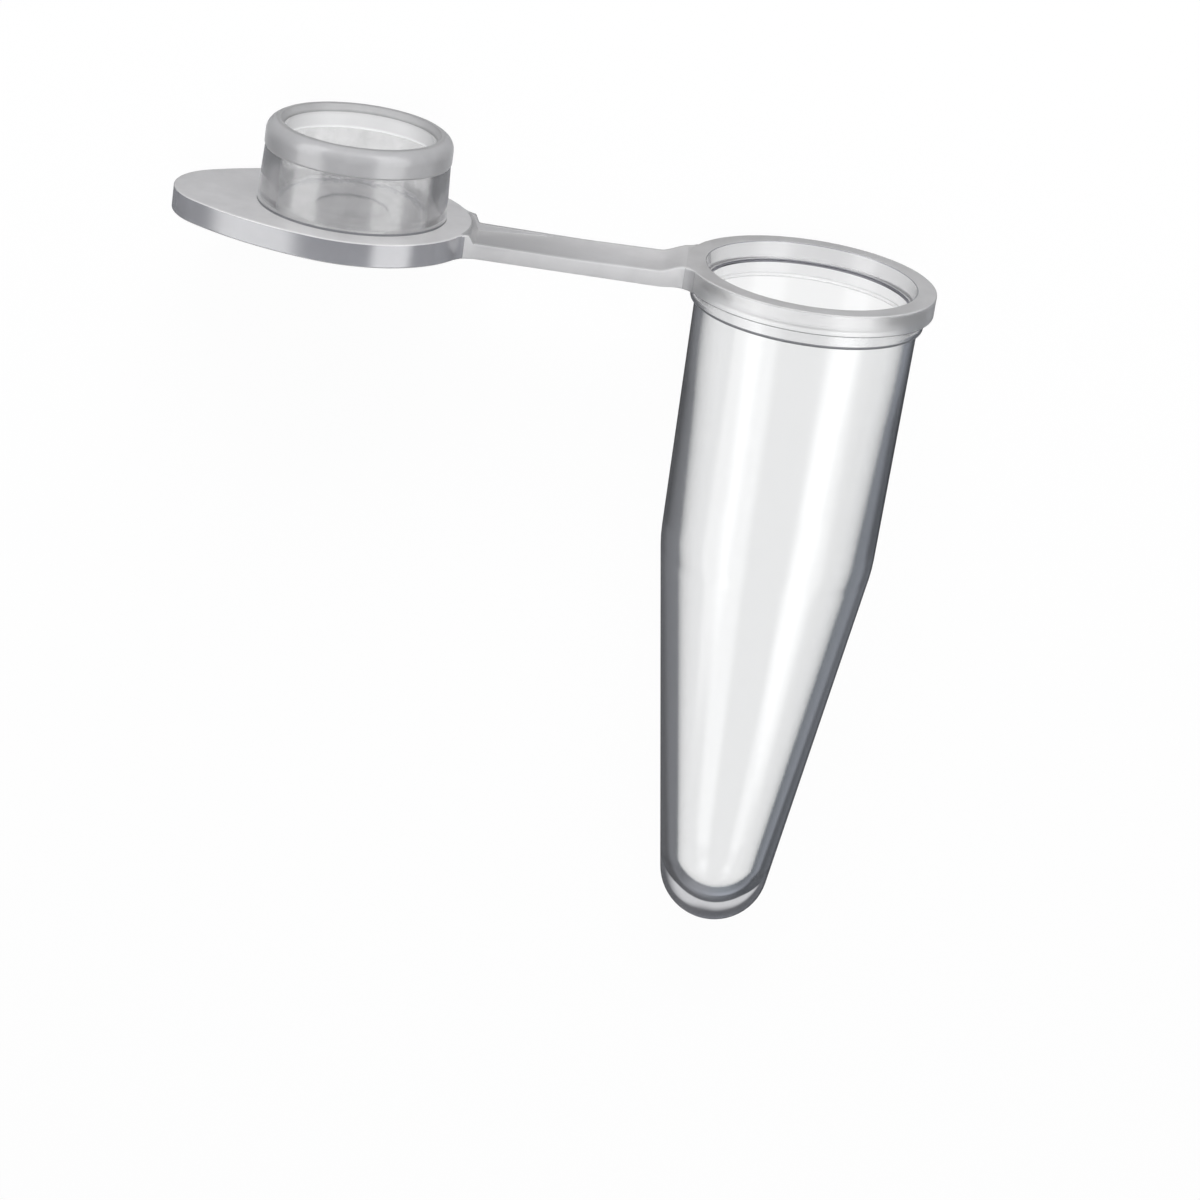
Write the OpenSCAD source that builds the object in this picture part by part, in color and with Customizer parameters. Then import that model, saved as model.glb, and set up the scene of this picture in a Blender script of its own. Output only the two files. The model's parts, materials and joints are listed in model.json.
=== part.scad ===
// Snap-cap microcentrifuge tube, open, lying on a table. Millimetres.
// One polypropylene moulding: a tapered tube, a strap that folds in its middle,
// and a lid whose hollow plug closes the mouth. It is drawn as two solids, split
// at the fold line, because the lid swings 180 degrees about that line.

/* [Mouth and collar] */
// Radius of the collar round the mouth
collar_r = 6.5; // [6.2:0.1:8]
// Height of the collar
collar_h = 1.15; // [0.9:0.05:1.4]
// Small bevel on the outer edges of the collar
collar_bevel = 0.12; // [0.05:0.01:0.2]
// How far the neck band stands out from the barrel
neck_step = 0.27; // [0.1:0.01:0.35]
// Height of the neck band under the collar
neck_h = 0.8; // [0.5:0.1:1.5]
// Radius of the bore that the plug seals in
bore_r = 5.25; // [5.15:0.05:5.35]
// Depth below the rim at which that straight bore ends
bore_depth = 4.8; // [4.5:0.1:6]
// How much wider the mouth is than the bore
mouth_flare = 0.25; // [0.15:0.01:0.35]
// Depth of the flared lead-in at the mouth
flare_depth = 0.88; // [0.6:0.02:1.1]
// Width of the fine groove that ends the lead-in
groove_w = 0.2; // [0.1:0.02:0.3]
// Depth of that groove
groove_d = 0.07; // [0.04:0.01:0.1]

/* [Barrel and cone] */
// Length of the tube from rim to tip
tube_length = 36.9; // [34:0.1:42]
// Distance from the rim to the shoulder where the cone begins
shoulder_depth = 15.3; // [14:0.1:18]
// Radius of the barrel just under the neck band
barrel_r = 5.8; // [5.75:0.05:6]
// Radius of the barrel at the shoulder
shoulder_r = 5.66; // [5.5:0.02:5.76]
// Radius of the curve that softens the shoulder
shoulder_round = 8; // [3:1:12]
// Radius of the round tip
tip_r = 2.95; // [2.6:0.05:3.4]
// Wall thickness at the shoulder and along the cone
wall = 0.95; // [0.6:0.05:1.1]
// Thickness of the floor at the tip
base_thickness = 1.6; // [1:0.1:2.5]
// Depth of the well's rounded bottom, as a multiple of its radius
well_stretch = 1.25; // [1:0.05:1.6]

/* [Lid] */
// Distance from the mouth's axis to the fold line
fold_distance = 11.95; // [11.6:0.05:13]
// How far the edge of the lid stays inside the collar's edge
lid_inset = 0.25; // [0:0.05:0.4]
// Thickness of the lid plate
lid_t = 1.25; // [1.1:0.05:1.5]
// Distance from the lid's centre to the centre of the tab's round end
tab_reach = 5.4; // [4.5:0.1:7]
// Radius of the tab's round end
tab_r = 3.8; // [3:0.1:4.2]
// Radius of the long curves between the disc and the tab
tab_curve_r = 16; // [12:1:40]
// Gap left round the plug in the bore
plug_clearance = 0.43; // [0.4:0.01:0.55]
// Height of the plug
plug_h = 4.3; // [3.5:0.1:4.4]
// Wall thickness of the plug
plug_wall = 0.85; // [0.6:0.05:1.1]
// How much wider the plug is at its foot
plug_draft = 0.16; // [0:0.01:0.2]
// Height of the sealing bead round the plug's end
bead_h = 1.4; // [1:0.1:1.8]
// How far the bead stands out from the plug
bead_out = 0.05; // [0.02:0.01:0.08]
// Radius of the rounded end of the plug
plug_round = 0.7; // [0.65:0.05:0.8]
// Depth of the panel sunk in the lid's outer face
panel_depth = 0.22; // [0.1:0.02:0.4]
// Width of the rim left round that panel
panel_rim = 0.65; // [0.4:0.05:1]
// Width of the rib between the round panel and the tab's own recess
tab_rib_w = 0.4; // [0.2:0.05:0.8]
// Radius of the raised ring in the panel
ring_r = 3.9; // [3.4:0.1:4.2]
// Width of the raised ring
ring_w = 0.35; // [0.2:0.05:0.5]
// Radius of the raised disc in the middle of the panel
boss_r = 1.8; // [1:0.1:2.4]
// Radius of the gate mark on the lid's inner face
gate_r = 1.9; // [1:0.1:2.4]
// Depth of that mark
gate_h = 0.1; // [0.05:0.01:0.2]

/* [Strap] */
// Width of the strap
strap_w = 3.95; // [3:0.05:4.4]
// Thickness of the strap at its ends
strap_end_t = 0.84; // [0.7:0.02:1]
// Thickness of the strap at the fold line
strap_fold_t = 0.78; // [0.5:0.02:0.84]
// Width of the two ribs beside the channel in the lid's half of the strap
rib_w = 0.35; // [0.3:0.05:0.8]
// Depth of that channel beside the lid, from where it rises towards the fold
channel_depth = 0.34; // [0.1:0.02:0.4]
// Length of that channel
channel_l = 4.4; // [2:0.1:4.6]
// Radius of the fillets that spread the strap into the collar and the lid
strap_fillet = 1.3; // [0.8:0.1:1.6]
// Length of the slope from the strap up to the collar's top
collar_ramp = 1.4; // [1:0.1:2.4]
// Length of the slope from the strap up to the lid's inner face
lid_ramp = 0.3; // [0.2:0.1:0.8]

/* [Hidden] */
$fn = 96;

arc_steps = 6;
tip_steps = 14;
disc_steps = 48;
curve_steps = 8;
tab_steps = 18;
// How far pieces of one solid run into each other
merge = 0.05;

mouth_r = bore_r + mouth_flare;
neck_r = barrel_r + neck_step;
neck_bottom = collar_h + neck_h;
disc_r = collar_r - lid_inset;
plug_r = bore_r - plug_clearance - bead_out;
bead_r = plug_r + bead_out;
plug_in_r = plug_r - plug_wall;
plug_foot_r = plug_r + plug_draft;

// Cone that runs from the shoulder and touches the round tip
tip_z = -(tube_length - tip_r);
cone_drop = -tip_z - shoulder_depth;
cone_angle = atan(shoulder_r / cone_drop) - asin(tip_r / norm([shoulder_r, cone_drop]));
// Inside of the tip: half an ellipse that touches the inner cone and leaves the
// floor its thickness
well_k = well_stretch * sin(cone_angle);
well_gap = tip_r - wall - sin(cone_angle) * (tip_r - base_thickness);
well_r = well_gap / (norm([cos(cone_angle), well_k]) - well_k);
well_z = -(tube_length - base_thickness - well_r * well_stretch);
well_shoulder_r = shoulder_r - wall / cos(cone_angle);

// At rest the tube lies on the flank of its cone and leans over until the edge
// of the open lid touches the table. The origin is under the middle of its box.
mouth_height = tip_r - tip_z * sin(cone_angle);
lid_reach = 2 * fold_distance;
lid_edge_height = mouth_height - disc_r * cos(cone_angle) - lid_t * sin(cone_angle);
lean = asin(lid_edge_height / (lid_reach * cos(cone_angle)));
tab_end_x = -(lid_reach + tab_reach) * cos(lean) - tab_r;
tip_end_y = tip_z * cos(cone_angle) - tip_r;
plug_axis_y = (lid_reach * sin(lean) + bead_r - plug_round) * sin(cone_angle);
plug_end_y = plug_axis_y + (plug_h - plug_round) * cos(cone_angle) + plug_round;

function unit(v) = v / norm(v);

// Points of an arc about a centre, from one angle to another
function arc(centre, radius, from, to, steps) =
    [for (i = [0 : steps]) let (a = from + (to - from) * i / steps)
        centre + radius * [cos(a), sin(a)]];

// A list without its first and last items
function inner(points) = [for (i = [1 : len(points) - 2]) points[i]];

// Points that round off corner q of the path p, q, r
function rounded(p, q, r, radius, steps = arc_steps) =
    let (u = unit(p - q), v = unit(r - q), half = acos(u * v) / 2)
    let (centre = q + unit(u + v) * radius / sin(half))
    let (a = q + u * radius / tan(half) - centre, b = q + v * radius / tan(half) - centre)
    let (from = atan2(a[1], a[0]), turn = atan2(b[1], b[0]) - from)
    let (short = turn > 180 ? turn - 360 : turn < -180 ? turn + 360 : turn)
    arc(centre, radius, from, from + short, steps);

// Points on a round end whose tangent is the cone, down to the axis. Stretch
// makes it deeper than its radius
function round_end(z, radius, stretch = 1) =
    let (points = arc([0, 0], radius, -atan(stretch * tan(cone_angle)), -90, tip_steps))
    [for (p = points) [p[0], z + p[1] * stretch]];

function tube_outside() =
    let (barrel_top = [barrel_r, -neck_bottom], shoulder = [shoulder_r, -shoulder_depth])
    let (cone_end = round_end(tip_z, tip_r)[0])
    concat(
        [[collar_r - collar_bevel, 0], [collar_r, -collar_bevel]],
        [[collar_r, collar_bevel - collar_h], [collar_r - collar_bevel, -collar_h]],
        [[neck_r, -collar_h], [neck_r, -neck_bottom], barrel_top],
        rounded(barrel_top, shoulder, cone_end, shoulder_round),
        round_end(tip_z, tip_r));

function tube_inside() =
    let (bore_end = [bore_r, -bore_depth], shoulder = [well_shoulder_r, -shoulder_depth])
    let (well = round_end(well_z, well_r, well_stretch), lip = -flare_depth)
    concat(
        [[0, 1], [mouth_r, 1], [mouth_r, 0], [bore_r, lip]],
        [[bore_r + groove_d, lip - groove_w / 4], [bore_r + groove_d, lip - groove_w * 3 / 4]],
        [[bore_r, lip - groove_w], bore_end],
        rounded(bore_end, shoulder, well[0], shoulder_round),
        well);

// Half of the strap in plan, from inside the round part out to the fold line,
// spread by a fillet on each side
module strap_plan(end_r) {
    centre_y = strap_w / 2 + strap_fillet;
    centre_x = sqrt((end_r + strap_fillet) ^ 2 - centre_y ^ 2);
    root = end_r - 0.6;
    touch = [centre_x, centre_y] * end_r / (end_r + strap_fillet);
    translate([root, -strap_w / 2]) square([fold_distance - root, strap_w]);
    for (side = [0, 1]) mirror([0, side, 0]) difference() {
        polygon([[root, 0], [centre_x, 0], [centre_x, strap_w / 2], touch]);
        translate([centre_x, centre_y]) circle(r = strap_fillet);
    }
}

// Side view of half the strap, which spreads to the height of the round part
function strap_side(end_r, ramp, height) =
    let (root = end_r - 0.6, foot = end_r + ramp, drop = strap_end_t - lid_t)
    [[root, -height], [end_r, -height], [foot, -lid_t], [fold_distance, -lid_t],
     [fold_distance, strap_fold_t - lid_t], [foot, drop],
     [end_r + ramp * 2 / 3, drop * 3 / 4], [end_r + ramp / 3, drop / 4],
     [end_r, 0], [root, 0]];

module strap_half(end_r, ramp, height) {
    intersection() {
        translate([0, 0, -2 * lid_t]) linear_extrude(3 * lid_t) strap_plan(end_r);
        translate([0, strap_w, 0]) rotate([90, 0, 0]) linear_extrude(2 * strap_w)
            polygon(strap_side(end_r, ramp, height));
    }
}

// The channel in the lid's half of the strap: deepest beside the lid
module strap_channel() {
    start = disc_r + lid_ramp;
    top = strap_end_t - lid_t;
    width = strap_w - 2 * rib_w;
    translate([0, width / 2, 0]) rotate([90, 0, 0]) linear_extrude(width)
        polygon([[start, top - channel_depth], [start + channel_l, top], [start + channel_l, lid_t],
                 [start, lid_t]]);
}

// Outline of the lid plate, drawn in by an inset: a disc and the tab's round
// end, joined on both sides by long curves that touch them
function lid_outline(inset = 0) =
    let (to_disc = tab_curve_r - disc_r, to_tab = tab_curve_r - tab_r)
    let (x = (to_tab ^ 2 - to_disc ^ 2 - tab_reach ^ 2) / (2 * tab_reach))
    let (y = sqrt(to_disc ^ 2 - x ^ 2), curve_r = tab_curve_r - inset)
    let (disc_end = atan2(y, -x), tab_start = atan2(y, -tab_reach - x))
    concat(
        arc([0, 0], disc_r - inset, -disc_end, disc_end, disc_steps),
        inner(arc([x, -y], curve_r, disc_end, tab_start, curve_steps)),
        arc([-tab_reach, 0], tab_r - inset, tab_start, 360 - tab_start, tab_steps),
        inner(arc([x, y], curve_r, 360 - tab_start, 360 - disc_end, curve_steps)));

module flat_ring(outer, width) {
    difference() {
        circle(r = outer);
        circle(r = outer - width);
    }
}

// Relief on the lid's outer face: a round panel and the tab's recess, sunk on
// either side of a rib, with a raised ring and a raised disc in the panel
module lid_panel() {
    difference() {
        polygon(lid_outline(panel_rim));
        flat_ring(disc_r - panel_rim + tab_rib_w, tab_rib_w);
        flat_ring(ring_r, ring_w);
        circle(r = boss_r);
    }
}

module plug() {
    tip_out = [bead_r, plug_h];
    tip_in = [plug_in_r, plug_h];
    rotate_extrude() polygon(concat(
        [[plug_in_r, -merge], [plug_foot_r, -merge], [plug_r, plug_h - bead_h]],
        [[bead_r, plug_h - bead_h + bead_out]],
        rounded([bead_r, 0], tip_out, tip_in, plug_round),
        [tip_in]));
}

// Turns what is drawn with the mouth up, at the origin, into its pose at rest
module lie_down() {
    translate([-(tab_end_x + collar_r) / 2, -(tip_end_y + plug_end_y) / 2, mouth_height])
        rotate([cone_angle - 90, 0, 0]) rotate([0, 0, -lean]) children();
}

module tube() {
    color("gainsboro", 0.6) lie_down() difference() {
        union() {
            rotate_extrude() polygon(concat([[0, 0]], tube_outside()));
            rotate([0, 0, 180]) strap_half(collar_r, collar_ramp, collar_h);
        }
        rotate_extrude() polygon(tube_inside());
    }
}

module lid() {
    color("gainsboro", 0.6) lie_down() translate([-lid_reach, 0, 0]) {
        difference() {
            translate([0, 0, -lid_t]) linear_extrude(lid_t) polygon(lid_outline());
            translate([0, 0, -lid_t]) linear_extrude(panel_depth) lid_panel();
            translate([0, 0, -gate_h]) cylinder(r = gate_r, h = 1);
        }
        plug();
        difference() {
            strap_half(disc_r, lid_ramp, lid_t);
            strap_channel();
        }
    }
}

tube();
lid();
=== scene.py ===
"""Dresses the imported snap-cap microcentrifuge tube as one clear and frosted plastic
moulding, on a pale floor under soft studio light.

Shapes are drawn in millimetres in the mould's frame: origin at the middle of the
mouth, +Z out of the mouth, the strap and the lid towards -X. PLACE carries them
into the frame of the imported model, in metres.
"""

import json
import math
from dataclasses import dataclass

import bmesh
import bpy
from mathutils import Matrix, Vector

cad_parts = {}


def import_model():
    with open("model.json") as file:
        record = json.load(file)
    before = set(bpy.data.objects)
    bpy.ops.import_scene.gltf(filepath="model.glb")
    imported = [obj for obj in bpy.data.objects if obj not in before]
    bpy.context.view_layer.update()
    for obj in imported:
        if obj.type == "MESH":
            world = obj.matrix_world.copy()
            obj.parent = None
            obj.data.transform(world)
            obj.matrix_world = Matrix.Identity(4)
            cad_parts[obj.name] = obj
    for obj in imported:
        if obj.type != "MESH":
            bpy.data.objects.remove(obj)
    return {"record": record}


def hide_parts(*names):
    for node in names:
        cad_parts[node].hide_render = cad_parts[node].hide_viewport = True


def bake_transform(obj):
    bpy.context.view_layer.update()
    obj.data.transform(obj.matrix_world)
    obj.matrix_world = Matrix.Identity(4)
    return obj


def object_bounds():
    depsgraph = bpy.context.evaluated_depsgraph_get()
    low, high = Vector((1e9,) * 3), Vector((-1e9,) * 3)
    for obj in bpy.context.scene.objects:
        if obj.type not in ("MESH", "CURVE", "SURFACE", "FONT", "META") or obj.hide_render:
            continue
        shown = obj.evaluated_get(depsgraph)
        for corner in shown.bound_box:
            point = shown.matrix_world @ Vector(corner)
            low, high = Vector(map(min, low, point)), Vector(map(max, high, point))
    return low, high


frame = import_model()
cad_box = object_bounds()
record = frame["record"]

# ---------------------------------------------------------------- sizes, in mm
MM = 0.001
EDGE = 0.08  # rounding of the outer edges
CORNER = 0.05  # rounding of the small corners
FINE_CORNER = 0.02
TOUCH = 0.02  # how far past a size a point may lie and still count as on it
HAIR = 0.01  # the same, where the next face is close by

# mouth, collar and neck band
COLLAR_R = 6.5
COLLAR_H = 1.15
COLLAR_LINE = 0.05  # the painted shade line along the collar's lower edge
COLLAR_FOOT = 0.06
NECK_H = 0.8
NECK_ROUND = 0.12
NECK_EDGE = 0.17  # painted shade along the lower edge of the neck band
MOUTH_FLARE = 0.25
FLARE_DEPTH = 0.88
MOUTH_LINE = 0.06  # the rounded edge of the mouth, which carries a painted shade line
GROOVE_W = 0.2
GROOVE_D = 0.07
GROOVE_CORNER = 0.03
BORE_DEPTH = 4.8
BORE_ROUND = 60.0  # the long curve from the bore into the barrel

# barrel, cone and tip
TUBE_LENGTH = 36.9
SHOULDER_DEPTH = 15.3
BARREL_R = 5.8
SHOULDER_R = 5.66
SHOULDER_ROUND = 8.0
TIP_R = 2.95
WALL = 0.95
BASE_T = 1.6
WELL_STRETCH = 1.25

# lid plate, and the panel, ribs and boss of its outer face
DISC_R = 6.25
LID_T = 1.25
TAB_REACH = 5.4
TAB_R = 3.8
TAB_CURVE_R = 16.0
PANEL_DEPTH = 0.22
PANEL_RIM = 0.65
PANEL_ROUND = 0.08
OVER_PANEL = 0.4  # how far the flats are drawn past the rounded edges beside them
OVER_FACE = 0.6
TAB_RIB_W = 0.4
RING_R = 3.9
RING_W = 0.35
BOSS_R = 1.8
ROOT = 0.2  # how deep a rib or boss is set into the panel's floor
RELIEF_EDGE = 0.06  # rounding of the ribs and the boss

# plug
PLUG_R = 4.77
PLUG_WALL = 0.85
PLUG_H = 4.3
PLUG_DRAFT = 0.16
FOOT_Z = 0.12  # the height of the painted shade line round the plug's foot
BEAD_R = 4.82
BEAD_H = 1.4
BEAD_STEP = 0.08
BEAD_ROUND = 0.7
RIM_INSET = 0.5  # the rim's painted shade starts this far inside the bead
RIM_DEPTH = 0.42  # and reaches this far down inside the plug
CHAMFER_W = 0.28
CHAMFER_H = 0.3
CHAMFER_TOP = 0.12
CHAMFER_FOOT = 0.15
GATE_R = 1.9
GATE_H = 0.1

# strap
STRAP_W = 3.95
STRAP_END_T = 0.84
STRAP_FOLD_T = 0.78
STRAP_FILLET = 1.3
STRAP_EDGE = 0.1
COLLAR_RAMP = 1.4
LID_RAMP = 0.3
COLLAR_LAP = 0.5  # how far the strap reaches into the collar
LID_LAP = 0.6  # and into the lid plate
TOP_GAP = 0.002  # keeps the strap's faces off those that it joins
LOW_GAP = 0.004
RIB_W = 0.35
CHANNEL_DEPTH = 0.34
CHANNEL_L = 4.4
CHANNEL_RAMP = 0.55
CHANNEL_EDGE = 0.04

SEGMENTS = 256  # round each turned shape
DISC_STEPS, CURVE_STEPS, TAB_STEPS = 128, 24, 56  # along the lid's outline
STATIONS = 180  # along the strap
ARC_STEP = math.radians(11)  # along a rounded edge
SUPPORT = 0.05  # rings this far from an edge keep the flats beside it flat


# ---------------------------------------------------- the mould's frame
def record_mount(name):
    return next(m for m in record["mounts"] if m["name"] == name)


mouth = record_mount("mouth")
neck = record_mount("neck")
hinge = next(j for j in record["behaviour"]["joints"] if j["name"] == "lid_hinge")

BORE_R = mouth["dims"]["r_mm"]
NECK_R = neck["dims"]["r_mm"]

up = Vector(mouth["axis"]).normalized()
across = Vector(hinge["axis"]).normalized()
outward = across.cross(up)
hinge_at = Vector(hinge["pos_m"])
bore_at = Vector(mouth["pos_m"])
origin = bore_at + up * (hinge_at - bore_at).dot(up)
FOLD = (hinge_at - origin).length / MM
LID_X = -2 * FOLD

MOULD = Matrix((outward, across, up)).transposed().to_4x4()
MOULD.translation = origin
PLACE = MOULD @ Matrix.Scale(MM, 4)


def row_point(x, y, z):
    """A point of the mould's frame, in mm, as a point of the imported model's frame."""
    return PLACE @ Vector((x, y, z))


TIP_Z = TIP_R - TUBE_LENGTH
tip = row_point(0, 0, TIP_Z)

NECK_BOTTOM = COLLAR_H + NECK_H
LID_EDGE_X = LID_X + DISC_R
PANEL_Z = PANEL_DEPTH - LID_T
PLUG_BORE_R = PLUG_R - PLUG_WALL
CONE_DROP = -TIP_Z - SHOULDER_DEPTH
CONE = math.atan(SHOULDER_R / CONE_DROP) - math.asin(
    TIP_R / math.hypot(SHOULDER_R, CONE_DROP)
)
WELL_R = (TIP_R - WALL - math.sin(CONE) * (TIP_R - BASE_T)) / (
    math.hypot(math.cos(CONE), WELL_STRETCH * math.sin(CONE))
    - WELL_STRETCH * math.sin(CONE)
)
WELL_Z = WELL_R * WELL_STRETCH + BASE_T - TUBE_LENGTH
WELL_SHOULDER_R = SHOULDER_R - WALL / math.cos(CONE)


# ---------------------------------------------------------------- outlines
def rounded_path(corners):
    """Points along corners (a, b, radius), each rounded to its radius, with a
    support point beside every edge so that smooth shading stays near it."""
    points = []
    for i, (a, b, radius) in enumerate(corners):
        q = Vector((a, b))
        if i in (0, len(corners) - 1):
            points.append(q)
            continue
        p = Vector(corners[i - 1][:2])
        r = Vector(corners[i + 1][:2])
        u, v = (p - q).normalized(), (r - q).normalized()
        turn = math.pi - u.angle(v)
        cut = radius * math.tan(turn / 2)
        if radius > 0:
            centre = q + (u + v).normalized() * radius / math.cos(turn / 2)
            steps = max(2, math.ceil(turn / ARC_STEP))
            start, end = q + u * cut - centre, q + v * cut - centre
            arc = []
            for k in range(steps + 1):
                s = k / steps
                w0 = math.sin((1 - s) * turn) / math.sin(turn)
                w1 = math.sin(s * turn) / math.sin(turn)
                arc.append(centre + start * w0 + end * w1)
        else:
            arc = [q]
        if (p - arc[0]).length > 3 * SUPPORT:
            points.append(arc[0] + u * SUPPORT)
        points += arc
        if (r - arc[-1]).length > 3 * SUPPORT:
            points.append(arc[-1] + v * SUPPORT)
    return [(p.x, p.y) for p in points]


def fan(z, radius, start, end, stretch=1.0):
    """Points of a round end about (0, z), between two angles in radians. Stretch
    makes it longer than its radius."""
    steps = max(2, math.ceil(abs(end - start) / (ARC_STEP / 2)))
    angles = [start + (end - start) * k / steps for k in range(steps + 1)]
    deep = radius * stretch
    return [(max(0.0, radius * math.cos(a)), z + deep * math.sin(a)) for a in angles]


def tube_profile():
    """From the axis at the bottom of the well, up the inside, over the rim and
    down the outside to the tip."""
    touch = math.atan(WELL_STRETCH * math.tan(CONE))
    well = fan(WELL_Z, WELL_R, -math.pi / 2, -touch, WELL_STRETCH)
    round_tip = fan(TIP_Z, TIP_R, -CONE, -math.pi / 2)
    lip = -FLARE_DEPTH
    wall = rounded_path(
        [
            (*well[-1], 0),
            (WELL_SHOULDER_R, -SHOULDER_DEPTH, SHOULDER_ROUND),
            (BORE_R, -BORE_DEPTH, BORE_ROUND),
            (BORE_R, lip - GROOVE_W, GROOVE_CORNER),
            (BORE_R + GROOVE_D, lip - GROOVE_W * 3 / 4, FINE_CORNER),
            (BORE_R + GROOVE_D, lip - GROOVE_W / 4, FINE_CORNER),
            (BORE_R, lip, CORNER),
            (BORE_R + MOUTH_FLARE, 0, MOUTH_LINE),
            (COLLAR_R, 0, EDGE),
            (COLLAR_R, -COLLAR_H, EDGE),
            (NECK_R, -COLLAR_H, COLLAR_FOOT),
            (NECK_R, -NECK_BOTTOM, NECK_ROUND),
            (BARREL_R, -NECK_BOTTOM, CORNER),
            (SHOULDER_R, -SHOULDER_DEPTH, SHOULDER_ROUND),
            (*round_tip[0], 0),
        ]
    )
    return well[:-1] + wall + round_tip[1:]


def plug_profile():
    """Closed section of the hollow plug, with its foot inside the lid plate."""
    foot = -LID_T / 2
    neck_z = PLUG_H - BEAD_H
    ankle = PLUG_DRAFT * (neck_z - FOOT_Z) / (neck_z - foot)
    path = rounded_path(
        [
            (PLUG_BORE_R, foot, 0),
            (PLUG_R + PLUG_DRAFT, foot, FINE_CORNER),
            (PLUG_R + ankle, FOOT_Z, 0),
            (PLUG_R, neck_z, CORNER),
            (BEAD_R, neck_z + BEAD_STEP, CORNER),
            (BEAD_R, PLUG_H, BEAD_ROUND),
            (PLUG_BORE_R + CHAMFER_W, PLUG_H, CHAMFER_TOP),
            (PLUG_BORE_R, PLUG_H - CHAMFER_H, CHAMFER_FOOT),
            (PLUG_BORE_R, foot, 0),
        ]
    )
    return path[:-1]


def lid_outline(inset):
    """Outline of the lid plate: a disc and the tab's round end, joined on both
    sides by long curves that touch them."""
    to_disc, to_tab = TAB_CURVE_R - DISC_R, TAB_CURVE_R - TAB_R
    x = (to_tab**2 - to_disc**2 - TAB_REACH**2) / (2 * TAB_REACH)
    y = math.sqrt(to_disc**2 - x**2)
    disc_end = math.atan2(y, -x)
    tab_start = math.atan2(y, -TAB_REACH - x)
    full = 2 * math.pi

    def arc(cx, cy, radius, start, end, steps, ends=True):
        ks = range(steps + 1) if ends else range(1, steps)
        angles = [start + (end - start) * k / steps for k in ks]
        return [(cx + radius * math.cos(a), cy + radius * math.sin(a)) for a in angles]

    curve, end = TAB_CURVE_R - inset, TAB_R - inset
    return (
        arc(0, 0, DISC_R - inset, -disc_end, disc_end, DISC_STEPS)
        + arc(x, -y, curve, disc_end, tab_start, CURVE_STEPS, False)
        + arc(-TAB_REACH, 0, end, tab_start, full - tab_start, TAB_STEPS)
        + arc(x, y, curve, full - tab_start, full - disc_end, CURVE_STEPS, False)
    )


def section(corners):
    """A closed section with the same number of points whatever its sizes."""
    steps, most = 4, 0.4  # points of a rounding, and its share of a side at most
    points = []
    count = len(corners)
    for i, (a, b, radius) in enumerate(corners):
        q = Vector((a, b))
        p, r = Vector(corners[i - 1][:2]), Vector(corners[(i + 1) % count][:2])
        u, v = (p - q).normalized(), (r - q).normalized()
        cut = min(radius, (p - q).length * most, (r - q).length * most)
        for k in range(steps + 1):
            s = k / steps
            points.append(q + u * cut * (1 - s) ** 2 + v * cut * s**2)
    return [(p.x, p.y) for p in points]


# ---------------------------------------------------------------- meshes
def new_object(name, bm):
    bmesh.ops.recalc_face_normals(bm, faces=bm.faces)
    mesh = bpy.data.meshes.new(name)
    bm.to_mesh(mesh)
    bm.free()
    obj = bpy.data.objects.new(name, mesh)
    bpy.context.scene.collection.objects.link(obj)
    return obj


def bridge(bm, rings, closed=False):
    """Quads between neighbouring rings of vertices; closed joins last to first.
    A ring of one vertex is a pole."""
    pairs = list(zip(rings, rings[1:]))
    if closed:
        pairs.append((rings[-1], rings[0]))
    for low, high in pairs:
        count = max(len(low), len(high))
        for k in range(count):
            n = (k + 1) % count
            face = [low[k % len(low)], low[n % len(low)]]
            face += [high[n % len(high)], high[k % len(high)]]
            bm.faces.new(list(dict.fromkeys(face)))


def loft(name, outlines):
    """A solid through a list of outlines, each a list of points, with flat ends."""
    bm = bmesh.new()
    rings = [[bm.verts.new(point) for point in outline] for outline in outlines]
    bridge(bm, rings)
    bm.faces.new(rings[0])
    bm.faces.new(rings[-1])
    return new_object(name, bm)


def lathe(name, path, closed=False, x=0.0):
    """Turns a path of (radius, height) about the Z axis through x."""
    bm = bmesh.new()
    angles = [2 * math.pi * k / SEGMENTS for k in range(SEGMENTS)]
    rings = []
    for r, z in path:
        if r < 1e-6:
            points = [(x, 0, z)]
        else:
            points = [(x + r * math.cos(a), r * math.sin(a), z) for a in angles]
        rings.append([bm.verts.new(point) for point in points])
    bridge(bm, rings, closed)
    return new_object(name, bm)


def lid_plate():
    """The plate, with rounded edges and the shallow panel in its outer face."""
    path = rounded_path(
        [
            (PANEL_RIM + OVER_PANEL, PANEL_Z, 0),
            (PANEL_RIM, PANEL_Z, PANEL_ROUND),
            (PANEL_RIM, -LID_T, PANEL_ROUND),
            (0, -LID_T, EDGE),
            (0, 0, EDGE),
            (OVER_FACE, 0, 0),
        ]
    )
    outlines = [
        [(LID_X + x, y, z) for x, y in lid_outline(inset)] for inset, z in path
    ]
    return loft("lid_plate", outlines)


def ease(t):
    """Goes smoothly from 0 to 1 as t does, and stays there beyond."""
    t = min(1.0, max(0.0, t))
    return t * t * (3 - 2 * t)


def strap_half_width(d, end_r):
    """Half width of the strap at distance d from the round part's centre."""
    centre_y = STRAP_W / 2 + STRAP_FILLET
    centre_x = math.sqrt((end_r + STRAP_FILLET) ** 2 - centre_y**2)
    touch_x = centre_x * end_r / (end_r + STRAP_FILLET)
    if d >= centre_x:
        return STRAP_W / 2
    d = max(d, touch_x)
    return centre_y - math.sqrt(STRAP_FILLET**2 - (centre_x - d) ** 2)


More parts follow.
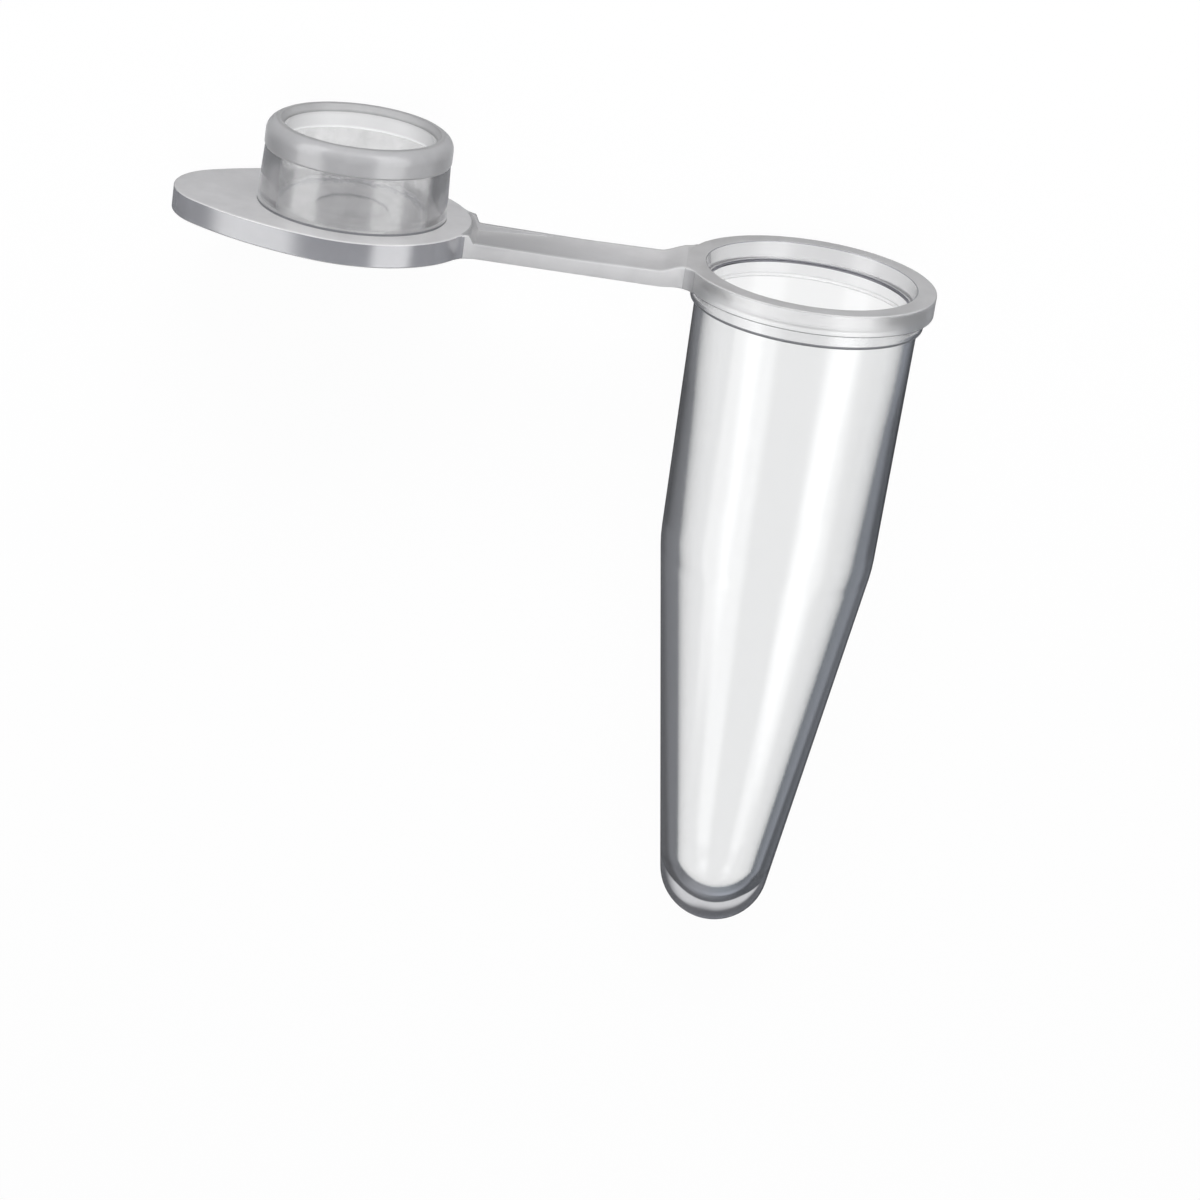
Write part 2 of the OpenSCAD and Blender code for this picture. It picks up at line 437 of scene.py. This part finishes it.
def strap_top(d, end_r, ramp):
    """Height of the strap's top at distance d from the round part's centre."""
    fall = (d - end_r - ramp) / (FOLD - end_r - ramp)
    if fall > 0:
        return STRAP_END_T + (STRAP_FOLD_T - STRAP_END_T) * fall - LID_T
    return (STRAP_END_T - LID_T) * ease((d - end_r) / ramp)


def strap_outline(x):
    """The strap's section at x. Its lid half has a shallow channel between two
    ribs, which rises and runs out near the fold."""
    d = -x
    sink = 0.0
    if d < FOLD:
        half = strap_half_width(d, COLLAR_R)
        top = strap_top(d, COLLAR_R, COLLAR_RAMP)
        low = -COLLAR_H - (LID_T - COLLAR_H) * ease((d - COLLAR_R) / COLLAR_RAMP)
    else:
        d = x - LID_X
        half = strap_half_width(d, DISC_R)
        top = strap_top(d, DISC_R, LID_RAMP)
        low = -LID_T
        run = d - DISC_R - LID_RAMP
        rise = max(0.0, 1 - run / CHANNEL_L)
        sink = CHANNEL_DEPTH * rise * ease(1 + run / CHANNEL_RAMP)
    top -= TOP_GAP
    low += LOW_GAP
    web = top - max(TOP_GAP, sink)
    slot = half - RIB_W
    corners = [
        (-half, top, STRAP_EDGE),
        (-half, low, STRAP_EDGE),
        (half, low, STRAP_EDGE),
        (half, top, STRAP_EDGE),
        (slot, top, CHANNEL_EDGE),
        (slot, web, CHANNEL_EDGE),
        (-slot, web, CHANNEL_EDGE),
        (-slot, top, CHANNEL_EDGE),
    ]
    return [(x, y, z) for y, z in section(corners)]


def strap():
    """The strap, lofted from the collar to the lid plate."""
    start, end = COLLAR_LAP - COLLAR_R, LID_EDGE_X - LID_LAP
    places = [start + (end - start) * i / STATIONS for i in range(STATIONS + 1)]
    return loft("strap", [strap_outline(x) for x in places])


def join_solid(base, other, operation="UNION"):
    """Makes base the union of base and other, or cuts other out of it."""
    modifier = base.modifiers.new("join", "BOOLEAN")
    modifier.operation = operation
    modifier.solver = "MANIFOLD"
    modifier.object = other
    depsgraph = bpy.context.evaluated_depsgraph_get()
    mesh = bpy.data.meshes.new_from_object(base.evaluated_get(depsgraph))
    base.modifiers.clear()
    base.data = mesh
    bpy.data.objects.remove(other)


def panel_ring(name, radius, width):
    """A raised ring in the lid's outer face, level with its rim."""
    foot = PANEL_Z + ROOT
    path = rounded_path(
        [
            (radius - width, foot, 0),
            (radius - width, -LID_T, RELIEF_EDGE),
            (radius, -LID_T, RELIEF_EDGE),
            (radius, foot, 0),
        ]
    )
    return lathe(name, path, closed=True, x=LID_X)


def boss():
    """The round boss in the middle of the lid's outer face."""
    foot = PANEL_Z + ROOT
    path = rounded_path(
        [(0, -LID_T, 0), (BOSS_R, -LID_T, RELIEF_EDGE), (BOSS_R, foot, 0), (0, foot, 0)]
    )
    return lathe("boss", path, x=LID_X)


def gate_cutter():
    """What cuts the gate mark into the floor of the plug."""
    above = 1.0
    path = rounded_path(
        [
            (0, above, 0),
            (GATE_R, above, 0),
            (GATE_R, -GATE_H, CORNER),
            (0, -GATE_H, 0),
        ]
    )
    return lathe("gate", path, x=LID_X)


def moulding():
    """Tube, strap and lid as one closed mesh, still in the mould's frame."""
    body = lathe("moulded_tube_and_lid", tube_profile())
    join_solid(body, strap())
    lid = lid_plate()
    join_solid(lid, lathe("plug", plug_profile(), closed=True, x=LID_X))
    join_solid(lid, gate_cutter(), "DIFFERENCE")
    join_solid(lid, panel_ring("ring", RING_R, RING_W))
    join_solid(lid, panel_ring("tab_rib", DISC_R - PANEL_RIM + TAB_RIB_W, TAB_RIB_W))
    join_solid(lid, boss())
    join_solid(body, lid)
    return body


# ---------------------------------------------------------------- node helpers
class Tree:
    """A node tree under construction. Its methods add nodes and return their
    output sockets."""

    def __init__(self, owner):
        owner.use_nodes = True
        self.tree = owner.node_tree
        self.tree.nodes.clear()

    def node(self, kind, out=0, **inputs):
        made = self.tree.nodes.new("ShaderNode" + kind)
        for key, value in inputs.items():
            self.feed(made.inputs[key.replace("_", " ")], value)
        return made.outputs[out]

    def feed(self, socket, value):
        """Links an output socket to socket, or gives socket a plain value."""
        if isinstance(value, bpy.types.NodeSocket):
            self.tree.links.new(value, socket)
        elif socket.type == "RGBA" and not hasattr(value, "__len__"):
            socket.default_value = (value, value, value, 1)
        elif socket.type == "RGBA":
            socket.default_value = (*value, 1)
        else:
            socket.default_value = value

    def feed_all(self, sockets, values):
        for socket, value in zip(sockets, values):
            self.feed(socket, value)

    def maths(self, operation, *values):
        made = self.tree.nodes.new("ShaderNodeMath")
        made.operation = operation
        self.feed_all(made.inputs, values)
        return made.outputs[0]

    def ramp(self, value, low, high, from_=0.0, to=1.0):
        """Smooth step from from_ to to as value goes from low to high."""
        made = self.tree.nodes.new("ShaderNodeMapRange")
        made.interpolation_type = "SMOOTHSTEP"
        self.feed_all(made.inputs, (value, low, high, from_, to))
        return made.outputs[0]

    def mix(self, factor, first, second):
        """A mix of two shaders."""
        made = self.tree.nodes.new("ShaderNodeMixShader")
        self.feed_all(made.inputs, (factor, first, second))
        return made.outputs[0]

    def blend(self, factor, first, second):
        """A mix of two colours."""
        made = self.tree.nodes.new("ShaderNodeMix")
        made.data_type = "RGBA"
        sockets = [x for x in made.inputs if x.enabled]
        self.feed_all(sockets, (factor, first, second))
        return next(x for x in made.outputs if x.enabled)

    def place(self):
        """The point that is shaded, in the object's own coordinates."""
        return self.tree.nodes.new("ShaderNodeTexCoord").outputs["Object"]

    def axes(self, vector):
        """The three coordinates of vector."""
        made = self.tree.nodes.new("ShaderNodeSeparateXYZ")
        self.feed(made.inputs[0], vector)
        return made.outputs

    def distance(self, vector, point):
        made = self.tree.nodes.new("ShaderNodeVectorMath")
        made.operation = "DISTANCE"
        self.feed_all(made.inputs, (vector, point))
        return made.outputs["Value"]

    def from_behind(self):
        """1 where the surface is met from its back, else 0."""
        return self.tree.nodes.new("ShaderNodeNewGeometry").outputs["Backfacing"]

    def light_path(self, name):
        made = self.tree.nodes.new("ShaderNodeLightPath")
        return made.outputs[name]

    def mirrored(self):
        """1 for a ray that was reflected on its way from the camera, else 0."""
        return self.maths("MINIMUM", self.light_path("Glossy Depth"), 1.0)

    def crossed_twice(self):
        """1 for a ray that has gone into plastic and out again once, else 0."""
        return self.maths("COMPARE", self.light_path("Transmission Depth"), 2.0, 0.5)

    def output(self, kind, shader):
        """Makes shader the tree's surface; kind is Material or World."""
        made = self.tree.nodes.new("ShaderNodeOutput" + kind)
        self.tree.links.new(shader, made.inputs["Surface"])


# ---------------------------------------------------------------- finishes
PLASTIC_IOR = 1.49
COAT_ROUGH = 0.12
SHEEN_ROUGH = 0.4
ROUGH_DRIFT = 0.04  # how much the roughness drifts from place to place
PATCH_SCALE = 700.0  # of the noise that the colour follows
PATCH_ENDS = (0.3, 0.7)
GRAIN_SCALE = 3500.0
GRAIN_SHARE = 0.3  # of the fine noise in the relief
GRAIN_HEIGHT = 0.00002  # metres


@dataclass(eq=False)
class Finish:
    """One look of the plastic. Its colour and roughness drift a little from place
    to place, and it has a fine grain."""

    name: str
    base: tuple  # colour
    rough: float
    transmission: float
    mottle: float = 0.05  # how much the colour drifts
    grain: float = 0.3  # how strong its fine relief is
    shade: float = 0.85  # how much lamp light it lets through to the floor
    coat: float = 0.0
    coat_ior: float = 1.5
    sheen: float = 0.0
    inside: tuple = None  # colour of its back
    lid_end: tuple = None  # colour that the strap fades to at the lid

    def material(self):
        material = bpy.data.materials.new(self.name)
        tree = Tree(material)
        place = tree.place()
        patches = tree.node(
            "TexNoise", Vector=place, Scale=PATCH_SCALE, Detail=5.0, Roughness=0.6
        )
        fine = tree.node(
            "TexNoise", Vector=place, Scale=GRAIN_SCALE, Detail=2.0, Roughness=0.5
        )
        darker = [c * (1 - self.mottle) for c in self.base]
        colour = tree.blend(tree.ramp(patches, *PATCH_ENDS), darker, self.base)
        if self.lid_end is not None:
            strap_ends = (LID_EDGE_X, -COLLAR_R - COLLAR_RAMP)
            ends = [row_point(x, 0, 0).x for x in strap_ends]
            along = tree.ramp(tree.axes(place)[0], *ends)
            colour = tree.blend(along, self.lid_end, colour)
        if self.inside is not None:
            colour = tree.blend(tree.from_behind(), colour, self.inside)
        least_rough = self.rough - ROUGH_DRIFT / 2
        relief = tree.maths("MULTIPLY_ADD", fine, GRAIN_SHARE, patches)
        shader = tree.node(
            "BsdfPrincipled",
            Base_Color=colour,
            Roughness=tree.maths("MULTIPLY_ADD", fine, ROUGH_DRIFT, least_rough),
            IOR=PLASTIC_IOR,
            Transmission_Weight=self.transmission,
            Normal=tree.node(
                "Bump", Height=relief, Strength=self.grain, Distance=GRAIN_HEIGHT
            ),
            Coat_Weight=self.coat,
            Coat_Roughness=COAT_ROUGH,
            Coat_IOR=self.coat_ior,
            Sheen_Weight=self.sheen,
            Sheen_Roughness=SHEEN_ROUGH,
        )
        tree.output("Material", lamps_pass(tree, shader, self.shade))
        return material


def lamps_pass(tree, shader, tint):
    """Lets shadow and diffuse rays through shader, in the tint, so that the part
    throws a soft pale shadow."""
    passing = tree.maths(
        "MAXIMUM", tree.light_path("Is Shadow Ray"), tree.light_path("Is Diffuse Ray")
    )
    return tree.mix(passing, shader, tree.node("BsdfTransparent", Color=tint))


CLEAR = Finish(
    "clear_polypropylene", (0.965, 0.968, 0.97), 0.09, 1.0,
    mottle=0.004, grain=0.02, shade=0.93,
)
FROST = Finish(
    "frosted_polypropylene", (0.7, 0.695, 0.7), 0.32, 0.2,
    mottle=0.11, grain=0.4, coat=1.0,
)
SATIN = Finish(
    "satin_polypropylene", (0.7, 0.7, 0.705), 0.1, 0.85,
    mottle=0.25, grain=1.0, shade=0.9, coat=1.0, sheen=0.12,
)
# painted shade: a dark copy of the clear finish for the groove inside the mouth, clear
# from behind
SHADE = Finish(
    "shaded_groove", (0.1, 0.1, 0.12), 0.2, 1.0,
    shade=0.6, inside=(0.99, 0.99, 0.99),
)
# painted shade: a darker copy of the frosted finish for the lid's edge, where its faces
# look sideways, and for a line along the mouth's rounded edge; its strong coat mirrors the
# cards
EDGE_SHADE = Finish(
    "edge_painted_shade", (0.36, 0.365, 0.39), 0.24, 0.3,
    coat=1.0, coat_ior=2.1,
)
# painted light: a lighter, more see-through copy of the frosted finish for the strap's
# narrow sides, which face the lamps
STRAP = Finish(
    "strap_side_painted_light", (0.84, 0.84, 0.845), 0.4, 0.6,
    mottle=0.09, grain=0.4, shade=0.9,
)
COLLAR = Finish(
    "collar_polypropylene", (0.95, 0.95, 0.955), 0.36, 1.0,
    grain=0.2, shade=0.9, coat=0.6,
)
BEAD = Finish(
    "bead_polypropylene", (0.47, 0.47, 0.48), 0.3, 0.15,
    mottle=0.1, grain=0.4, coat=1.0, sheen=0.4, inside=(1.0, 1.0, 1.0),
)
LEAD_IN = Finish(
    "lead_in_polypropylene", (0.62, 0.62, 0.63), 0.2, 0.8,
    shade=0.9, inside=(0.97, 0.97, 0.97),
)
STRAP_TOP = Finish(
    "strap_top_polypropylene", (0.72, 0.715, 0.72), 0.32, 0.2,
    mottle=0.1, grain=0.4, coat=1.0, lid_end=(0.4, 0.397, 0.4),
)
# painted shade: a dark copy of the frosted finish for thin shade lines along the collar's
# and the neck band's lower edges, round the plug's foot and on the gate mark's wall; near
# white from behind
SHADE_LINE = Finish(
    "painted_shade_line", (0.2, 0.205, 0.22), 0.4, 0.2,
    grain=0.2, shade=0.8, inside=(0.95, 0.95, 0.95),
)
# painted shade: a darker copy of the frosted finish in the fillets where the strap meets
# the collar and the lid
FILLET = Finish("fillet_painted_shade", (0.45, 0.45, 0.46), 0.4, 0.2)
NECK = Finish(
    "neck_polypropylene", (0.8, 0.8, 0.81), 0.2, 1.0,
    grain=0.2, shade=0.9, coat=0.4,
)
# painted shade: a darker copy of the frosted finish on the top of the mouth ring and the
# floor of the gate mark
RING = Finish(
    "ring_painted_shade", (0.63, 0.626, 0.63), 0.32, 0.2,
    mottle=0.1, grain=0.4, coat=1.0,
)
# painted shade: a darker copy of the frosted finish on the plug's rim and chamfer, which
# face the lamps
RIM = Finish("rim_painted_shade", (0.42, 0.42, 0.425), 0.4, 0.1, mottle=0.1, grain=0.4)

FINISHES = [
    CLEAR, FROST, SATIN, SHADE, EDGE_SHADE, STRAP, COLLAR, BEAD,
    LEAD_IN, STRAP_TOP, SHADE_LINE, FILLET, NECK, RING, RIM,
]


# how much of an axis a face's normal needs, to count as looking along it; which way a face
# looks picks its painted shade or light
SIDE_LOOKS = 0.7
FILLET_LOOKS = 0.5
EDGE_LOOKS = 0.4
GATE_LOOKS = 0.9
BESIDE_STRAP = 0.1  # a strip along the strap's sides that goes with it
INSIDE_LID = 0.2  # how far inside the lid's edge the strap's sides start


def plate_finish(p, normal, r):
    """The lid plate and its half of the strap. r is the distance from the lid's
    middle."""
    half = STRAP_W / 2
    # the strap's sides at the lid: painted light on the flat sides, painted shade in the
    # fillets
    if p.x > LID_EDGE_X - INSIDE_LID and abs(normal.y) > SIDE_LOOKS:
        return STRAP if abs(p.y) > half - BESIDE_STRAP else FILLET
    if p.x > LID_EDGE_X + LID_RAMP:
        return STRAP_TOP
    on_edge = r > DISC_R - EDGE and p.x > LID_X + PLUG_R
    if on_edge and abs(p.y) < half + BESIDE_STRAP:
        return STRAP_TOP
    # the gate mark: painted shade on its wall, and the darker ring finish, also painted
    # shade, on its floor
    if r < GATE_R + TOUCH and -LID_T / 2 < p.z < 0:
        return SHADE_LINE if abs(normal.z) < GATE_LOOKS else RING
    # faces of the lid's edge that look sideways get painted shade
    return EDGE_SHADE if abs(normal.z) < EDGE_LOOKS and r > PLUG_R else FROST


def plug_finish(p, r):
    """The plug on the lid. r is the distance from the lid's middle."""
    on_rim = p.z > PLUG_H - RIM_DEPTH
    if r < PLUG_BORE_R + TOUCH and not on_rim:
        return CLEAR
    # a painted shade line round the plug's foot
    if p.z < FOOT_Z:
        return SHADE_LINE
    # the plug's rim gets painted shade
    if r < BEAD_R - RIM_INSET and on_rim:
        return RIM
    return BEAD if p.z > PLUG_H - BEAD_H - TOUCH else SATIN


def tube_finish(p, normal):
    """The tube and its half of the strap."""
    r = math.hypot(p.x, p.y)
    if r > COLLAR_R + HAIR:
        # the strap's fillets at the collar get painted shade
        if abs(normal.z) < FILLET_LOOKS and p.x > -COLLAR_R - TOUCH:
            return FILLET
        # the strap's flat sides get painted light
        return STRAP if abs(normal.y) > SIDE_LOOKS else STRAP_TOP
    # a painted shade line along the collar's lower edge
    if r > COLLAR_R - EDGE - TOUCH and p.z < -COLLAR_H + COLLAR_LINE:
        return SHADE_LINE
    if r > COLLAR_R - TOUCH and p.z < -EDGE:
        return COLLAR
    # the groove inside the mouth gets painted shade
    if r < BORE_R + GROOVE_D + TOUCH and p.z < -FLARE_DEPTH:
        return SHADE if p.z > -FLARE_DEPTH - GROOVE_W else CLEAR
    # the lead-in, with a painted shade line along the mouth's rounded edge
    if r < BORE_R + MOUTH_FLARE + TOUCH and -FLARE_DEPTH - TOUCH < p.z < 0:
        return EDGE_SHADE if p.z > -MOUTH_LINE else LEAD_IN
    # the top of the mouth ring gets painted shade
    if p.z > -COLLAR_H / 2:
        return RING
    if p.z > -NECK_BOTTOM + NECK_EDGE:
        return NECK
    # a painted shade line along the neck band's lower edge
    return SHADE_LINE if p.z > -NECK_BOTTOM - HAIR else CLEAR


def finish_of(p, normal):
    """Which finish the surface has at p, a point of the mould's frame in mm."""
    if p.x >= -FOLD:
        return tube_finish(p, normal)
    r = math.hypot(p.x - LID_X, p.y)
    if p.z < TOUCH:
        return plate_finish(p, normal, r)
    return plug_finish(p, r)


# ------------------------------------------- the stage, in metres unless it says mm
FLOOR_SIZE = 1.2
FLOOR_Z = -0.00002  # just under the part, so that no two faces share a plane
PAPER = 0.93
FLOOR_GLOW = 0.88  # how much of the floor that the camera sees is plain white
BOUNCE = 0.2
ROOM = (0.26, 0.26, 0.27)
DARK_ROOM = (0.08, 0.08, 0.09)

# the floor seen through the plastic: white for rays that come in steeply, dark for those
# that come in flat, by Layer Weight's facing; the dark is painted shade that gives the
# tube's walls their dark edges
FLAT = (0.76, 0.97)
DARK_THROUGH = (0.1, 0.1, 0.11)

# the same through the solid plastic of the tip, with painted shade round the tip and a
# painted dark streak
TIP_SHADE = (1.5, 3.0)  # where this fades out, in mm from the tip
TIP_FLAT = (0.15, 0.5)
TIP_TONE = (0.66, 0.66, 0.68)
STREAK_AT = 0.35  # mm to the right of the tip
STREAK = (0.05, 0.23)  # its half width, from the full dark to its end
STREAK_FLATTER = 2.5

# the floor mirrored in the plastic, on the left and on the right of the tube: painted
# reflections, with painted shade near the tube
LEFT_NEAR, LEFT_FAR = (0.08, 0.08, 0.085), (0.185, 0.19, 0.205)
LEFT_STEP = (0.65, 1.05)
RIGHT_NEAR, RIGHT_BRIGHT = (0.08, 0.085, 0.095), (0.25, 0.265, 0.3)
RIGHT_FAR = (0.175, 0.19, 0.21)
RIGHT_STEP, RIGHT_FALL = (1.1, 1.4), (1.4, 2.4)
SIDE_BLEND = 0.003  # half the strip where the left turns into the right
MIRROR_LIFT = 0.002  # added to the tube's height above the floor
AHEAD = (0.8, 1.0)  # ahead of the tip the painted reflection is paler
AHEAD_GLOW = 0.6

# name, place, size and power
LAMPS = [
    ("top_softbox", (0, 0, 0.45), (0.1, 0.3), 0.8),
    ("mouth_softbox", (0, 0.4, 0.25), (0.3, 0.2), 1.8),
]
# name, angle in degrees, width and fade places
CARDS = [
    ("left_card", -63.5, 0.23, (-0.255, -0.205)),
    ("right_card", 42, 0.29, (-0.3, -0.255)),
]
CARD_DISTANCE = 0.25
CARD_LENGTH = 1.0
CARD_EDGE = (0.5, 0.22)  # where its glow ends and where it is full, across it
CARD_GLOW = 2.4

CAMERA_LENS, CAMERA_SENSOR = 116.8, 36  # mm
CAMERA_AT = (-0.00725, 0.04510, 0.20562)
CAMERA_TURN = (-13.903, -1.584, 7.750)  # degrees


def flat_square(name, half_size, z=0.0):
    bm = bmesh.new()
    bmesh.ops.create_grid(bm, x_segments=1, y_segments=1, size=half_size)
    bmesh.ops.translate(bm, verts=bm.verts, vec=(0, 0, z))
    return new_object(name, bm)


def seen_through(tree, place, x):
    """The floor as it is seen through the plastic, with painted shade: dark where rays
    meet it flat, darker round the tip, and a dark streak there.
    """
    # painted shade round the tip, and a painted dark streak in it
    near = tree.distance(place, (tip.x, tip.y, 0))
    under = tree.ramp(near, *[mm * MM for mm in TIP_SHADE], 1.0, 0.0)
    under = tree.maths("MULTIPLY", under, tree.crossed_twice())
    off = tree.maths("ABSOLUTE", tree.maths("SUBTRACT", tip.x + STREAK_AT * MM, x))
    streak = tree.ramp(off, *[mm * MM for mm in STREAK], 1.0, 0.0)
    streak = tree.maths("MULTIPLY", streak, under)
    flatter = tree.maths("MULTIPLY_ADD", streak, STREAK_FLATTER, 1.0)
    facing = tree.node("LayerWeight", out=1, Blend=0.5)
    facing = tree.maths("MULTIPLY", facing, flatter)
    limits = [
        tree.maths("MULTIPLY_ADD", under, at_tip - usual, usual)
        for at_tip, usual in zip(TIP_FLAT, FLAT)
    ]
    steep = tree.ramp(facing, *limits, 1.0, 0.0)
    pale = tree.node("Emission", Color=tree.blend(under, (1, 1, 1), TIP_TONE))
    return tree.mix(steep, tree.node("Emission", Color=DARK_THROUGH), pale)


def seen_mirrored(tree, x, y):
    """The floor as the plastic mirrors it: painted reflections. Its tones go by the
    distance from the tube over the tube's height there: dark near it as painted shade, and
    lighter further out."""
    right = tree.maths("SUBTRACT", x, origin.x)
    rise = tree.maths("MULTIPLY", tree.maths("SUBTRACT", y, origin.y), up.z / up.y)
    axis_z = tree.maths("MAXIMUM", tree.maths("ADD", rise, origin.z), TIP_R * MM)
    height = tree.maths("ADD", axis_z, MIRROR_LIFT)
    beyond = tree.maths("MAXIMUM", tree.maths("SUBTRACT", tip.y, y), 0.0)
    squares = [tree.maths("POWER", leg, 2) for leg in (right, beyond)]
    away = tree.maths("SQRT", tree.maths("ADD", *squares))
    ratio = tree.maths("DIVIDE", away, height)
    left_tone = tree.blend(tree.ramp(ratio, *LEFT_STEP), LEFT_NEAR, LEFT_FAR)
    past_step = tree.blend(tree.ramp(ratio, *RIGHT_FALL), RIGHT_BRIGHT, RIGHT_FAR)
    right_tone = tree.blend(tree.ramp(ratio, *RIGHT_STEP), RIGHT_NEAR, past_step)
    tone = tree.blend(tree.ramp(right, -SIDE_BLEND, SIDE_BLEND), left_tone, right_tone)
    ahead = tree.ramp(tree.maths("DIVIDE", beyond, away), *AHEAD)
    glow = tree.maths("MULTIPLY_ADD", ahead, AHEAD_GLOW, 1.0)
    return tree.node("Emission", Color=tone, Strength=glow)


def floor():
    """The paper. The camera sees it as plain white with a soft shadow; through the
    plastic, and mirrored in it, it has the painted shade and reflection tones worked out
    above."""
    obj = flat_square("floor", FLOOR_SIZE / 2, FLOOR_Z)
    material = bpy.data.materials.new("floor")
    tree = Tree(material)
    place = tree.place()
    x, y, _ = tree.axes(place)
    white = tree.node("Emission", Color=1.0)
    paper = tree.node("BsdfDiffuse", Color=PAPER)
    plain = tree.mix(FLOOR_GLOW, paper, white)
    through = seen_through(tree, place, x)
    shader = tree.mix(tree.light_path("Is Camera Ray"), through, plain)
    shader = tree.mix(tree.mirrored(), shader, seen_mirrored(tree, x, y))
    bounce = tree.node("BsdfDiffuse", Color=BOUNCE)
    shader = tree.mix(tree.light_path("Is Diffuse Ray"), shader, bounce)
    tree.output("Material", shader)
    obj.data.materials.append(material)


def world():
    """White to the camera, dark where the plastic mirrors it, and a soft grey room
    for the light that it gives."""
    made = bpy.data.worlds.new("studio")
    bpy.context.scene.world = made
    tree = Tree(made)
    seen = tree.node("Background", Color=1.0)
    dark = tree.node("Background", Color=DARK_ROOM)
    room = tree.node("Background", Color=ROOM)
    shader = tree.mix(tree.mirrored(), seen, dark)
    shader = tree.mix(tree.light_path("Is Diffuse Ray"), shader, room)
    tree.output("World", shader)


def lamp(name, location, size, power):
    """A soft lamp, aimed at the part, that neither gloss nor glass shows."""
    data = bpy.data.lights.new(name, "AREA")
    data.shape = "RECTANGLE"
    data.size, data.size_y = size
    data.energy = power
    obj = bpy.data.objects.new(name, data)
    obj.location = location
    middle = (cad_box[0] + cad_box[1]) / 2
    turn = (Vector(middle) - Vector(location)).to_track_quat("-Z", "Y")
    obj.rotation_euler = turn.to_euler()
    obj.visible_glossy = False
    obj.visible_transmission = False
    bpy.context.scene.collection.objects.link(obj)


def card(name, angle, width, fade):
    """A long glowing card beside the part, at an angle from the zenith about the
    tube's axis. It shows only in gloss and through plastic, and not to rays that
    have crossed one wall. It is brightest in the middle of its width and fades
    along its length between the two fade places."""
    obj = flat_square(name, 0.5)
    obj.scale = (width, CARD_LENGTH, 1)
    a = math.radians(angle)
    middle = Vector((origin.x, 0, origin.z))
    obj.location = middle + CARD_DISTANCE * Vector((math.sin(a), 0, math.cos(a)))
    obj.rotation_euler = (0, a, 0)
    for ray in ("camera", "diffuse", "shadow", "volume_scatter"):
        setattr(obj, "visible_" + ray, False)
    material = bpy.data.materials.new(name)
    tree = Tree(material)
    x, y, _ = tree.axes(tree.place())
    glow = tree.ramp(tree.maths("ABSOLUTE", x), *CARD_EDGE)
    glow = tree.maths("MULTIPLY", glow, tree.ramp(y, *fade))
    hidden = tree.crossed_twice()
    glow = tree.maths("MULTIPLY", glow, tree.maths("SUBTRACT", 1.0, hidden))
    strength = tree.maths("MULTIPLY", glow, CARD_GLOW)
    shader = tree.node("Emission", Color=1.0, Strength=strength)
    rest = tree.node("BsdfTransparent", Color=1.0)
    tree.output("Material", tree.mix(glow, rest, shader))
    obj.data.materials.append(material)


def camera():
    data = bpy.data.cameras.new("camera")
    data.lens = CAMERA_LENS
    data.sensor_width = CAMERA_SENSOR
    data.clip_start, data.clip_end = 0.01, 10
    obj = bpy.data.objects.new("camera", data)
    obj.location = CAMERA_AT
    obj.rotation_euler = [math.radians(a) for a in CAMERA_TURN]
    bpy.context.scene.collection.objects.link(obj)
    bpy.context.scene.camera = obj


# ---------------------------------------------------------------- the scene
SHARP_FROM = math.radians(32)  # edges that turn more aren't smoothed over

scene = bpy.context.scene
scene.view_settings.view_transform = "Standard"
scene.cycles.caustics_reflective = False
scene.cycles.caustics_refractive = False

camera()
world()
for row in LAMPS:
    lamp(*row)
for row in CARDS:
    card(*row)
floor()

piece = moulding()
piece.data.materials.clear()
for finish in FINISHES:
    piece.data.materials.append(finish.material())
for polygon in piece.data.polygons:
    finish = finish_of(polygon.center, polygon.normal)
    polygon.material_index = FINISHES.index(finish)
piece.data.transform(PLACE)
piece.data.update()
piece.data.shade_smooth()
piece.data.set_sharp_from_angle(angle=SHARP_FROM)
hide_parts("tube", "lid")
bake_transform(piece)
